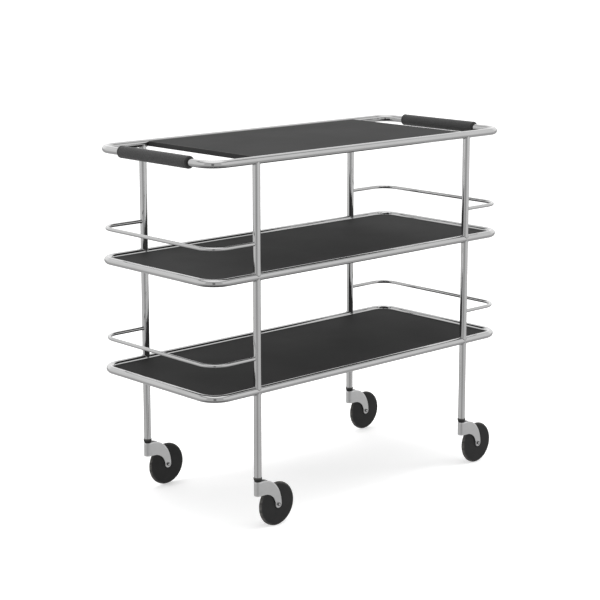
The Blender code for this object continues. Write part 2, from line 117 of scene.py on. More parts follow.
def rounded_rectangle(half_x: float, half_y: float, radius: float, steps: int) -> list[Point2]:
    """List the points of a rounded rectangle, anticlockwise from the +X side.

    Args:
        half_x: Half its length.
        half_y: Half its width.
        radius: The corners' radius.
        steps: How many parts each corner is cut into.

    Returns:
        The points of the closed outline.
    """
    points: list[Point2] = []
    for turn, (sign_x, sign_y) in enumerate([(1, 1), (-1, 1), (-1, -1), (1, -1)]):
        centre = (sign_x * (half_x - radius), sign_y * (half_y - radius))
        start, end = turn * QUARTER_TURN, (turn + 1) * QUARTER_TURN
        points += arc(centre, (radius, radius), start, end, steps)
    return points


def fillet(points: Sequence[Point2], radius: float, steps: int = 3, closed: bool = True
           ) -> list[Point2]:
    """Round the corners of an outline.

    Args:
        points: The outline's corners in order.
        radius: How far from each corner the rounding starts, at most.
        steps: How many parts each rounding is cut into.
        closed: Whether the last point joins the first.

    Returns:
        The rounded outline.
    """
    longest_share = 0.45
    rounded: list[Point2] = []
    count = len(points)
    for index, point in enumerate(points):
        if not closed and index in (0, count - 1):
            rounded.append(point)
            continue
        here = Vector(point)
        before = Vector(points[index - 1]) - here
        after = Vector(points[(index + 1) % count]) - here
        reach = min(radius, before.length * longest_share, after.length * longest_share)
        start = here + before.normalized() * reach
        end = here + after.normalized() * reach
        for step in range(steps + 1):
            t = step / steps
            bend = start * (1 - t) ** 2 + here * (2 * t * (1 - t)) + end * t**2
            rounded.append((bend.x, bend.y))
    return rounded


def skin(name: str, loops: Sequence[Loop], ring: bool = False, capped: bool = True) -> Mesh:
    """Make a mesh whose faces join a row of closed loops.

    Args:
        name: The mesh's name.
        loops: Loops of equally many points.
        ring: Whether the last loop joins the first.
        capped: Whether the first and last loops are closed with a face, when they don't join.

    Returns:
        The mesh, shaded smooth with its sharp edges kept.
    """
    sides = len(loops[0])
    points = [point for loop in loops for point in loop]
    faces: list[tuple[int, ...]] = []
    for row in range(len(loops) if ring else len(loops) - 1):
        here, there = row * sides, ((row + 1) % len(loops)) * sides
        for side in range(sides):
            after = (side + 1) % sides
            faces.append((here + side, here + after, there + after, there + side))
    if capped and not ring:
        faces.append(tuple(reversed(range(sides))))
        faces.append(tuple(range(len(points) - sides, len(points))))
    return solid(name, points, faces)


def solid(name: str, points: Sequence[Vector], faces: Sequence[tuple[int, ...]],
          degrees: float = 35.0) -> Mesh:
    """Make a mesh that is shaded smooth.

    Args:
        name: The mesh's name.
        points: Its points.
        faces: Its faces, as places in the list of points.
        degrees: The angle from which an edge stays sharp.

    Returns:
        The mesh.
    """
    mesh = bpy.data.meshes.new(name)
    mesh.from_pydata(points, [], faces)
    mesh.validate()
    mesh.shade_smooth()
    mesh.set_sharp_from_angle(angle=math.radians(degrees))
    return mesh


def flipped(loops: Sequence[Loop]) -> list[Loop]:
    """Turn the loops' order of points round, so that the faces look the other way."""
    return [list(reversed(loop)) for loop in loops]


def tube_loops(path: Sequence[Vector], radii: Sequence[float], sides: int, closed: bool) -> list[Loop]:
    """Put a circle round every point of a path that never runs straight up.

    Args:
        path: The centreline.
        radii: The tube's radius at each point.
        sides: How many points each circle has.
        closed: Whether the path's last point joins its first.

    Returns:
        One loop for each point of the path.
    """
    up = Vector((0.0, 0.0, 1.0))
    loops: list[Loop] = []
    last = len(path) - 1
    for index, centre in enumerate(path):
        before = path[index - 1] if index or closed else path[0]
        after = path[(index + 1) % len(path)] if index < last or closed else path[last]
        tangent = (after - before).normalized()
        side = tangent.cross(up).normalized()
        rise = side.cross(tangent)
        loops.append([centre + radii[index] * (math.cos(a) * side + math.sin(a) * rise)
                      for a in angles(sides)])
    return loops


def turned(name: str, profile: Sequence[Point2], steps: int, ring: bool = True) -> Mesh:
    """Turn a profile about Z.

    Args:
        name: The mesh's name.
        profile: Points of (radius, height), with the outer side running downwards.
        steps: How many parts the turn is cut into.
        ring: Whether the profile is a closed loop; else its ends are capped near the axis.

    Returns:
        The turned mesh.
    """
    loops = [[Vector((r * math.cos(a), r * math.sin(a), z)) for a in angles(steps)]
             for r, z in profile]
    return skin(name, flipped(loops), ring=ring)


def plate(name: str, outline: Sequence[Point2], low: float, high: float, edge: float,
          border: float = 0.0) -> Mesh:
    """Make a flat board with rounded edges.

    Args:
        name: The mesh's name.
        outline: The board's outline, anticlockwise.
        low: The height of its underside.
        high: The height of its top.
        edge: The edges' radius.
        border: The width of a strip inside the edge on both faces, or 0 for none.

    Returns:
        The board.
    """
    def shrunk(by: float, height: float) -> Loop:
        """Give the outline at a height, moved inwards.

        Args:
            by: How far it moves.
            height: The height.

        Returns:
            The smaller outline.
        """
        points: Loop = []
        count = len(outline)
        for index in range(count):
            tangent = Vector(outline[(index + 1) % count]) - Vector(outline[index - 1])
            inward = Vector((-tangent.y, tangent.x)).normalized()
            x, y = outline[index]
            points.append(Vector((x + inward.x * by, y + inward.y * by, height)))
        return points

    bend = (0, 22, 45, 67, 90)
    loops: list[Loop] = []
    for face, sign, turns in ((low, 1, reversed(bend)), (high, -1, bend)):
        for degrees in turns:
            turn = math.radians(degrees)
            height = face + sign * edge * (1 - math.sin(turn))
            loops.append(shrunk(edge * (1 - math.cos(turn)), height))
    if border:
        loops.insert(0, shrunk(edge + border, low))
        loops.append(shrunk(edge + border, high))
    return skin(name, loops)


# --- Finishes --------------------------------------------------------------------------------
class Nodes:
    """A node tree, built a few words at a time."""

    def __init__(self, tree: bpy.types.NodeTree) -> None:
        """Take a tree.

        Args:
            tree: The tree of a material or a world.
        """
        self.tree = tree

    def feed(self, socket: Socket, value: object) -> None:
        """Link an output to an input, or set the input to a number or a colour.

        Args:
            socket: The input.
            value: The output, the number or the colour.
        """
        if isinstance(value, Socket):
            self.tree.links.new(value, socket)
        else:
            socket.default_value = value

    def add(self, kind: str, **inputs: object) -> bpy.types.Node:
        """Add a node and set its inputs, whose names are written with _ for a space.

        Args:
            kind: The node's type.
            **inputs: An output, a number or a colour for each input.

        Returns:
            The node.
        """
        node = self.tree.nodes.new(kind)
        for key, value in inputs.items():
            self.feed(node.inputs[key.replace("_", " ")], value)
        return node

    def spread(self, value: Socket, low: float, high: float, start: float = 0.0, end: float = 1.0,
               kind: str = "LINEAR") -> Socket:
        """Map a value's range to another one, and keep it inside.

        Args:
            value: The value.
            low: What maps to start.
            high: What maps to end.
            start: The first end of the new range.
            end: The other end of the new range.
            kind: How it runs from one end to the other.

        Returns:
            The mapped value.
        """
        node = self.add("ShaderNodeMapRange", Value=value, From_Min=low, From_Max=high, To_Min=start,
                        To_Max=end)
        node.interpolation_type = kind
        return node.outputs["Result"]

    def combine(self, operation: str, one: object, two: object = 0.0) -> Socket:
        """Combine two numbers or outputs.

        Args:
            operation: The Math node's operation.
            one: The first number or output.
            two: The second one, for an operation that takes two.

        Returns:
            The result.
        """
        node = self.add("ShaderNodeMath")
        node.operation = operation
        self.feed(node.inputs[0], one)
        self.feed(node.inputs[1], two)
        return node.outputs["Value"]

    def toward(self, factor: Socket, one: object, two: float) -> Socket:
        """Move a number or output towards another number as a factor grows from 0 to 1."""
        way = self.combine("SUBTRACT", two, one)
        return self.combine("ADD", one, self.combine("MULTIPLY", factor, way))


class NodeGraph(Nodes):
    """A material's nodes round one Principled shader."""

    def __init__(self, name: str) -> None:
        """Start a material.

        Args:
            name: The material's name.
        """
        self.material = bpy.data.materials.new(name)
        self.material.use_nodes = True
        super().__init__(self.material.node_tree)
        self.shader = self.tree.nodes["Principled BSDF"]
        self.place = self.add("ShaderNodeTexCoord").outputs["Object"]

    def surface(self, **inputs: object) -> None:
        """Set or link the shader's sockets, whose names are written with _ for a space."""
        for key, value in inputs.items():
            self.feed(self.shader.inputs[key.replace("_", " ")], value)

    def stretched(self, *scale: float) -> Socket:
        """Give the object's own coordinates, stretched along each axis."""
        return self.add("ShaderNodeMapping", Vector=self.place, Scale=scale).outputs["Vector"]

    def noise(self, scale: float, detail: float, place: Socket | None = None) -> Socket:
        """Give fractal noise of a scale per metre, from 0 to 1."""
        node = self.add("ShaderNodeTexNoise", Vector=place or self.place, Scale=scale, Detail=detail)
        return node.outputs["Fac"]

    def cells(self, scale: float, feature: str) -> Socket:
        """Give the distance in a Voronoi pattern.

        Args:
            scale: How many cells there are to a metre.
            feature: Which distance it is.

        Returns:
            The distance.
        """
        node = self.add("ShaderNodeTexVoronoi", Vector=self.place, Scale=scale)
        node.feature = feature
        return node.outputs["Distance"]

    def blend(self, factor: Socket, one: object, two: object) -> Socket:
        """Blend two colours.

        Args:
            factor: How much of the second colour there is.
            one: The first colour, a triple or an output.
            two: The second colour.

        Returns:
            The blend.
        """
        node = self.add("ShaderNodeMix")
        node.data_type = "RGBA"
        self.feed(node.inputs["Factor"], factor)
        for socket, colour in zip((node.inputs[6], node.inputs[7]), (one, two)):
            self.feed(socket, colour if isinstance(colour, Socket) else (*colour, 1.0))
        return node.outputs[2]

    def painted(self) -> Socket:
        """Give the value that paint() stores at a mesh's points.

        Returns:
            The value, from 0 to 1.
        """
        node = self.add("ShaderNodeAttribute")
        node.attribute_name = EDGE
        return node.outputs["Fac"]

    def relief(self, layers: Iterable[tuple[Socket, float, float]]) -> None:
        """Stack bumps.

        Args:
            layers: An output for each bump, with its strength and its depth in metres.
        """
        below: dict[str, Socket] = {}
        for height, strength, depth in layers:
            node = self.add("ShaderNodeBump", Height=height, Strength=strength, Distance=depth,
                            **below)
            below = {"Normal": node.outputs["Normal"]}
        self.surface(**below)


def grey(level: float, warmth: float = 0.0) -> Colour:
    """Give a grey as a linear colour, slightly warm above 0 and slightly cool below."""
    return (level * (1 + warmth), level, level * (1 - warmth))


EDGE = "edge"  # the name under which paint() stores its value
MADE: dict[str, bpy.types.Material] = {}


@dataclass(frozen=True)
class Finish:
    """What every finish has: a name, the record's slot and two colours that it varies between."""

    name: str
    slot: str
    colour: Colour
    other: Colour

    def material(self) -> bpy.types.Material:
        """Make the finish's material, or give the one that is made already.

        Returns:
            The material.
        """
        if self.name not in MADE:
            graph = NodeGraph(self.name)
            self.dress(graph)
            MADE[self.name] = graph.material
        return MADE[self.name]

    def mottled(self, graph: NodeGraph, pattern: Socket, low: float = 0.3, high: float = 0.7) -> Socket:
        """Give the finish's two colours, mixed by a pattern."""
        return graph.blend(graph.spread(pattern, low, high), self.colour, self.other)

    def dress(self, graph: NodeGraph) -> None:
        """Fill the graph; each kind of finish has its own way.

        Args:
            graph: The material's graph.
        """
        raise NotImplementedError


@dataclass(frozen=True)
class ChromeFinish(Finish):
    """Bright plating over drawn steel: faint haze, long polishing lines and fine scratches."""

    roughness: float = 0.045
    haze: float = 0.05

    def dress(self, graph: NodeGraph) -> None:
        """Fill the graph with haze in the colour and lines in the gloss.

        Args:
            graph: The material's graph.
        """
        cloud = graph.noise(9.0, 4.0)
        lines = graph.noise(160.0, 5.0, graph.stretched(0.05, 1.0, 1.0))
        haze = graph.spread(cloud, 0.4, 0.75, 0.0, self.haze)
        marks = graph.spread(lines, 0.45, 0.8, 0.0, self.haze * 1.6)
        dull = graph.combine("ADD", graph.combine("ADD", haze, marks), self.roughness)
        graph.surface(Base_Color=self.mottled(graph, cloud, 0.35), Roughness=dull, Metallic=1.0,
                      Anisotropic=0.2)
        graph.relief([(graph.noise(42.0, 1.0), 0.10, 0.0004), (lines, 0.05, 0.00005),
                      (graph.noise(1400.0, 2.0), 0.03, 0.00003)])


@dataclass(frozen=True)
class SatinSheetFinish(Finish):
    """Pressed sheet with a satin plating: rolled grain and brighter rubbed edges."""

    rubbed: Colour = grey(0.86)

    def dress(self, graph: NodeGraph) -> None:
        """Fill the graph with grain along the sheet and wear where the edge is painted.

        Args:
            graph: The material's graph.
        """
        grain = graph.noise(420.0, 5.0, graph.stretched(0.18, 0.18, 1.0))
        cloud = graph.noise(38.0, 4.0)
        worn = graph.combine("MULTIPLY", graph.painted(), graph.spread(cloud, 0.3, 0.6, 0.35))
        soft = graph.spread(grain, 0.3, 0.75, 0.30, 0.46)
        dull = graph.combine("SUBTRACT", soft, graph.combine("MULTIPLY", worn, 0.10))
        graph.surface(Base_Color=graph.blend(worn, self.mottled(graph, cloud), self.rubbed),
                      Roughness=dull, Metallic=1.0, Anisotropic=0.3)
        graph.relief([(cloud, 0.12, 0.0006), (grain, 0.16, 0.00008)])


@dataclass(frozen=True)
class LaminateFinish(Finish):
    """Matt laminate on board: fine pearl texture, faint clouding, light scuffs, paler edges."""

    fleck: Colour = grey(0.040)
    scuff: Colour = grey(0.056)
    wear: Colour = grey(0.13)

    def dress(self, graph: NodeGraph) -> None:
        """Fill the graph with texture, scuffs, and wear where the edge is painted.

        Args:
            graph: The material's graph.
        """
        fine = graph.noise(950.0, 4.0)
        cloud = graph.noise(5.5, 5.0)
        along = graph.noise(30.0, 6.0, graph.stretched(0.12, 2.6, 1.0))
        across = graph.noise(26.0, 6.0, graph.stretched(2.2, 0.15, 1.0))
        scuffs = graph.combine("ADD", graph.spread(along, 0.66, 0.78, 0.0, 0.5),
                               graph.spread(across, 0.68, 0.80, 0.0, 0.4))
        chips = graph.spread(graph.noise(70.0, 5.0), 0.45, 0.62, 0.0, 0.7)
        flecks = graph.spread(fine, 0.42, 0.72, 0.0, 0.45)
        flecked = graph.blend(flecks, self.mottled(graph, cloud), self.fleck)
        scuffed = graph.blend(graph.combine("MULTIPLY", scuffs, 0.25), flecked, self.scuff)
        worn = graph.blend(graph.combine("MULTIPLY", graph.painted(), chips), scuffed, self.wear)
        matt = graph.spread(cloud, 0.3, 0.7, 0.62, 0.70)
        dull = graph.combine("ADD", matt, graph.combine("MULTIPLY", scuffs, 0.15))
        graph.surface(Base_Color=worn, Roughness=dull, Specular_IOR_Level=0.06)
        graph.relief([(fine, 0.35, 0.00006), (graph.cells(520.0, "F1"), 0.20, 0.00006)])


@dataclass(frozen=True)
class MouldedFinish(Finish):
    """Moulded plastic or rubber: fine spark texture, faint flow marks and pale dust or rub marks."""

    roughness: float = 0.55
    dust: float = 0.12
    texture: float = 1300.0
    dust_colour: Colour = grey(0.20, 0.05)

    def dress(self, graph: NodeGraph) -> None:
        """Fill the graph with the mould's texture, and dust where the edge is painted.

        Args:
            graph: The material's graph.
        """
        spark = graph.noise(self.texture, 3.0)
        flow = graph.noise(48.0, 4.0)
        smear = graph.noise(120.0, 5.0, graph.stretched(0.4, 1.0, 0.4))
        patches = graph.spread(smear, 0.35, 0.7, 0.1, self.dust * 5)
        dusty = graph.combine("MULTIPLY", graph.painted(), patches)
        matt = graph.spread(spark, 0.3, 0.7, self.roughness - 0.06, self.roughness + 0.06)
        dull = graph.combine("ADD", matt, graph.combine("MULTIPLY", dusty, 0.15))
        graph.surface(Base_Color=graph.blend(dusty, self.mottled(graph, flow), self.dust_colour),
                      Roughness=dull, Specular_IOR_Level=0.25)
        graph.relief([(spark, 0.30, 0.00006), (flow, 0.08, 0.0003)])


@dataclass(frozen=True)
class LeatherFinish(Finish):
    """Grained black leathercloth: pebbled cells with valleys painted darker as shade, and fine pores."""

    grain: float = 620.0

    def dress(self, graph: NodeGraph) -> None:
        """Fill the graph with pebbles and pores.

        Args:
            graph: The material's graph.
        """
        wobble = graph.noise(300.0, 2.0)
        pebbles = graph.spread(graph.cells(self.grain, "DISTANCE_TO_EDGE"), 0.0, 0.16)
        base = self.mottled(graph, graph.noise(22.0, 4.0))
        dull = graph.combine("ADD", graph.spread(wobble, 0.3, 0.7, 0.46, 0.58),
                             graph.spread(pebbles, 0.0, 1.0, 0.12, 0.0))
        # the valleys between the cells are painted darker: painted shade in the grain's hollows
        graph.surface(Base_Color=graph.blend(pebbles, grey(self.colour[0] * 0.45), base),
                      Roughness=dull, Specular_IOR_Level=0.42, Sheen_Weight=0.08, Sheen_Roughness=0.5)
        graph.relief([(pebbles, 0.55, 0.00016), (wobble, 0.20, 0.00020),
                      (graph.noise(2100.0, 2.0), 0.20, 0.00005)])


@dataclass(frozen=True)
class ZincFinish(Finish):
    """Zinc-plated fasteners: dull crystalline gloss."""

    def dress(self, graph: NodeGraph) -> None:
        """Fill the graph with small crystals and tool marks.

        Args:
            graph: The material's graph.
        """
        crystals = graph.cells(900.0, "F1")
        marks = graph.noise(520.0, 4.0)
        graph.surface(Base_Color=self.mottled(graph, crystals, 0.1),
                      Roughness=graph.spread(marks, 0.3, 0.7, 0.26, 0.42), Metallic=1.0)
        graph.relief([(crystals, 0.15, 0.00005), (marks, 0.12, 0.00005)])


@dataclass(frozen=True)
class StudioFloorFinish(Finish):
    """The plain pale floor of the studio, lit a little from within so that it stays even."""

    glow: float = 0.42

    def dress(self, graph: NodeGraph) -> None:
        """Fill the graph with a nearly even matt white.

        Args:
            graph: The material's graph.
        """
        soft = graph.noise(2.0, 3.0)
        graph.surface(Base_Color=graph.blend(soft, self.colour, self.other),
                      Roughness=graph.spread(soft, 0.3, 0.7, 0.78, 0.86), Specular_IOR_Level=0.1,
                      Emission_Color=(1.0, 1.0, 1.0, 1.0), Emission_Strength=self.glow)


CHROME = ChromeFinish("bright_chrome", "chromed_tube", grey(0.60), grey(0.56))
CHROME_ROD = ChromeFinish("bright_chrome_rod", "chromed_rod", grey(0.60), grey(0.55))
WELD_CHROME = ChromeFinish("plated_braze", "chromed_tube", grey(0.52), grey(0.45),
                           roughness=0.18, haze=0.10)
SATIN = SatinSheetFinish("satin_plated_sheet", "satin_sheet", grey(0.62), grey(0.57))
LAMINATE = LaminateFinish("matt_grey_laminate", "grey_laminate", grey(0.025), grey(0.029))
# darker than the board's laminate, partly as painted shade on the band's upright end faces
EDGE_BAND = MouldedFinish("dark_edge_band", "grey_laminate", grey(0.016), grey(0.020),
                          roughness=0.50, dust=0.05)
LEATHER = LeatherFinish("black_leathercloth", "grip_sleeve", grey(0.028), grey(0.033))
THREAD = MouldedFinish("waxed_thread", "grip_sleeve", grey(0.020), grey(0.030),
                       roughness=0.6, texture=3000.0)
PLASTIC = MouldedFinish("black_socket_plastic", "black_plastic", grey(0.014), grey(0.018),
                        roughness=0.42)
RUBBER = MouldedFinish("black_wheel_rubber", "wheel_rubber", grey(0.014), grey(0.018),
                       roughness=0.60, dust=0.10)
NYLON = MouldedFinish("pale_bush_nylon", "pale_nylon", grey(0.58, 0.04), grey(0.64, 0.04),
                      roughness=0.45)
STEM_STEEL = ZincFinish("turned_stem_steel", "steel_stem", grey(0.46), grey(0.52))
NUT_ZINC = ZincFinish("dark_zinc_nut", "zinc_fastener", grey(0.13), grey(0.18))
BOLT_ZINC = ZincFinish("bright_zinc_bolt", "zinc_fastener", grey(0.66), grey(0.74))
ZINC = ZincFinish("zinc_plate", "zinc_fastener", grey(0.40), grey(0.47, -0.02))
FLOOR = StudioFloorFinish("studio_floor", "", grey(0.86), grey(0.88))


# --- Placing pieces --------------------------------------------------------------------------
def put(name: str, mesh: Mesh, finish: Finish, body: str, node: str = "",
        place: Vector | None = None, turn: Matrix | None = None) -> None:
    """Put a piece in the scene with its finish, make it ride on its body, and report it.

    Args:
        name: The piece's name.
        mesh: Its mesh, which several pieces may share.
        finish: Its finish.
        body: The body that it moves with.
        node: The frame node that it stands for, if there is one.
        place: Where its origin goes; the frame's origin if left out.
        turn: How it is turned about its origin; not at all if left out.
    """
    piece = bpy.data.objects.new(name, mesh)
    bpy.context.scene.collection.objects.link(piece)
    piece.matrix_world = Matrix.Translation(place or Vector()) @ (turn or Matrix.Identity(4))
    if not mesh.materials:
        mesh.materials.append(finish.material())
    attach(piece, body)
    if node:
        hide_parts(node)
    LOG.info("%s rides on %s", name, body)


def paint(mesh: Mesh, rule: Rule) -> Mesh:
    """Store at each point of a mesh how strongly its edge is worn or dusty.

    Args:
        mesh: The mesh.
        rule: Gives the value, from 0 to 1, at a point's place.

    Returns:
        The same mesh.
    """
    layer = mesh.attributes.new(EDGE, "FLOAT", "POINT")
    for vertex in mesh.vertices:
        layer.data[vertex.index].value = min(1.0, max(0.0, rule(vertex.co)))
    return mesh


def middle_of(node: str) -> Vector:
    """Give the middle of a frame node's box."""
    low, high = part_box(node)
    return (low + high) / 2


def half_of(node: str) -> Vector:
    """Give half the size of a frame node's box."""
    low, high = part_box(node)
    return (high - low) / 2


# --- Frame -----------------------------------------------------------------------------------
@dataclass
class TubeFrame:
    """The chromed frame: three rails, twelve lengths of post, four gallery rods and their joints."""

    corner_radius: float = 0.044
    wall: float = 0.0015
    bead: float = 0.0011
    rod_bead: float = 0.7  # a gallery's bead, as a share of a post's
    end_bite: float = 0.0004  # the chamfer on a post's open lower end
    rail_sides: int = 36
    post_sides: int = 48
    rod_sides: int = 24
    bead_steps: int = 96
    bead_sides: int = 12
    corner_steps: int = 20
    tube: float = field(default_factory=lambda: half_of("upper_post_front_left").x)

    def __post_init__(self) -> None:
        """Read the rails' half-length and half-width from the frame."""
        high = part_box("top_rail")[1]
        self.half_length = high.x - self.tube
        self.half_width = high.y - self.tube
        self.random = random.Random(7)

    def rail_height(self, level: Level) -> float:
        """Give the height of a rail's centreline."""
        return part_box(f"{level.value}_rail")[1].z - self.tube

    def outline(self) -> list[Point2]:
        """Give the rails' centreline in plan."""
        return rounded_rectangle(self.half_length, self.half_width, self.corner_radius, self.corner_steps)

    def build_rails(self) -> None:
        """Build the three closed rails."""
        for level in Level:
            path = [Vector((x, y, self.rail_height(level))) for x, y in self.outline()]
            loops = tube_loops(path, [self.tube] * len(path), self.rail_sides, closed=True)
            name = f"{level.value}_rail_tube"
            put(name, skin(name, loops, ring=True), CHROME, "frame", f"{level.value}_rail")

    def post_mesh(self, name: str, low: float, high: float, low_saddle: bool) -> Mesh:
        """Make a length of post with hollowed ends.

        Args:
            name: The mesh's name.
            low: The rail centreline under it, or the height of its flat lower end.
            high: The rail centreline over it.
            low_saddle: Whether its lower end sits on a rail.

        Returns:
            The post, hollow, about its own axis.
        """
        def ring(radius: float, at_top: bool, inset: float = 0.0) -> Loop:
            """Give one end's edge, cut to the rail that it meets.

            Args:
                radius: The radius round the post.
                at_top: Whether it is the upper end.
                inset: How far a flat end is set back.

            Returns:
                The edge's points.
            """
            loop: Loop = []
            for a in angles(self.post_sides, 0.5):
                saddle = math.sqrt(max(self.tube**2 - (radius * math.sin(a)) ** 2, 0.0))
                if at_top:
                    z = high - saddle
                else:
                    z = low + (saddle if low_saddle else inset)
                loop.append(Vector((radius * math.cos(a), radius * math.sin(a), z)))
            return loop

        bore = self.tube - self.wall
        bite = 0.0 if low_saddle else self.end_bite
        loops = [ring(bore, False), ring(bore, True), ring(self.tube, True),
                 ring(self.tube, False, bite)]
        if not low_saddle:
            loops.append(ring(self.tube - bite, False))
        return skin(name, flipped(loops), ring=True)

    def bead_mesh(self, name: str, sign: int) -> Mesh:
        """Make the brazed fillet where a post meets a rail.

        Args:
            name: The mesh's name.
            sign: 1 for a post that stands on the rail, -1 for one that hangs under it.

        Returns:
            The fillet, about the crossing of the two centrelines.
        """
        path, radii = [], []
        for angle in angles(self.bead_steps):
            reach = self.tube + self.bead * 0.12
            x, y = reach * math.cos(angle), reach * math.sin(angle)
            rise = (self.tube + self.bead * 0.35) ** 2 - min(abs(y), self.tube) ** 2
            lift = math.sqrt(max(rise, 0.0))
            path.append(Vector((x, y, sign * max(lift, self.tube * 0.16))))
            ripple = 1 + 0.08 * math.sin(26 * angle) + self.random.uniform(-0.05, 0.05)
            radii.append(self.bead * ripple * (0.75 + 0.25 * abs(math.cos(angle))))
        return skin(name, tube_loops(path, radii, self.bead_sides, closed=True), ring=True)

    def build_posts(self) -> None:
        """Build the posts and the fillets at their ends."""
        heights = {level: self.rail_height(level) for level in Level}
        under = self.bead_mesh("post_fillet_under", -1)
        over = self.bead_mesh("post_fillet_over", 1)
        low_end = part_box("lower_post_front_left")[0].z
        lower = self.post_mesh("lower_post_tube", low_end, heights[Level.LOWER], False)
        spans = []
        for part, below, above in (("upper", Level.MIDDLE, Level.TOP), ("middle", Level.LOWER, Level.MIDDLE)):
            low, high = heights[below], heights[above]
            spans.append((part, low, self.post_mesh(f"{part}_post_tube", low, high, True)))
        for corner in Corner:
            at = corner.value
            where = middle_of(f"lower_post_{at}")
            foot = Vector((where.x, where.y, 0.0))
            for part, height, mesh in spans:
                put(f"{part}_post_tube_{at}", mesh, CHROME, "frame", f"{part}_post_{at}", foot)
                put(f"{part}_post_foot_fillet_{at}", over, WELD_CHROME, "frame", "",
                    foot + Vector((0.0, 0.0, height)))
            put(f"lower_post_tube_{at}", lower, CHROME, "frame", f"lower_post_{at}", foot)
            for level in Level:
                put(f"{level.value}_rail_fillet_{at}", under, WELD_CHROME, "frame", "",
                    foot + Vector((0.0, 0.0, heights[level])))

    def build_gallery(self, level: Level, end: End) -> None:
        """Build one gallery rod, with a fillet at each post.

        Args:
            level: The shelf that it guards.
            end: The end of the trolley that it goes round.
        """
        side = end.name.lower()
        node = f"{level.value}_gallery_{side}"
        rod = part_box(node)[1].y - self.half_width
        height = middle_of(node).z
        post_x = abs(middle_of(f"upper_post_front_{side}").x)
        plan = [point for point in self.outline() if point[0] > 0]
        rear, front = plan[: len(plan) // 2], plan[len(plan) // 2 :]
        start = post_x + self.tube * 0.9
        route = [(start, -self.half_width), *front, *rear, (start, self.half_width)]
        path = [Vector((end.value * x, y, height)) for x, y in route]
        loops = tube_loops(path, [rod] * len(path), self.rod_sides, closed=False)
        ends = (("front", -self.half_width, loops[0]), ("rear", self.half_width, loops[-1]))
        for _, y, loop in ends:
            for point in loop:
                point.x = end.value * (post_x + math.sqrt(self.tube**2 - (point.y - y) ** 2))
        if end is End.LEFT:
            loops = flipped(loops)
        put(f"{node}_rod", skin(f"{node}_rod", loops), CHROME_ROD, "frame", node)
        for where, y, _ in ends:
            name = f"{node}_fillet_{where}"
            put(name, self.rod_bead_mesh(name, rod, end), WELD_CHROME, "frame", "",
                Vector((end.value * post_x, y, height)))

    def rod_bead_mesh(self, name: str, rod: float, end: End) -> Mesh:
        """Make the small fillet where a gallery rod meets its post.

        Args:
            name: The mesh's name.
            rod: The rod's radius.
            end: The end of the trolley, which gives the side of the post.

        Returns:
            The fillet, about the post's axis at the rod's height.
        """
        bead = self.bead * self.rod_bead
        along = Vector((end.value, 0.0, 0.0))
        loops: list[Loop] = []
        for angle in angles(48):
            outward = Vector((0.0, math.cos(angle), math.sin(angle)))
            y = rod * math.cos(angle)
            centre = Vector((end.value * math.sqrt(self.tube**2 - y**2), y, rod * math.sin(angle)))
            size = bead * (1 + 0.10 * math.sin(14 * angle))
            loops.append([centre + size * (math.cos(t) * outward + math.sin(t) * along)
                          for t in angles(10)])
        return skin(name, flipped(loops) if end is End.RIGHT else loops, ring=True)

    def build(self) -> None:
        """Build the whole frame."""
        self.build_rails()
        self.build_posts()
        for level in (Level.MIDDLE, Level.LOWER):
            for end in End:
                self.build_gallery(level, end)


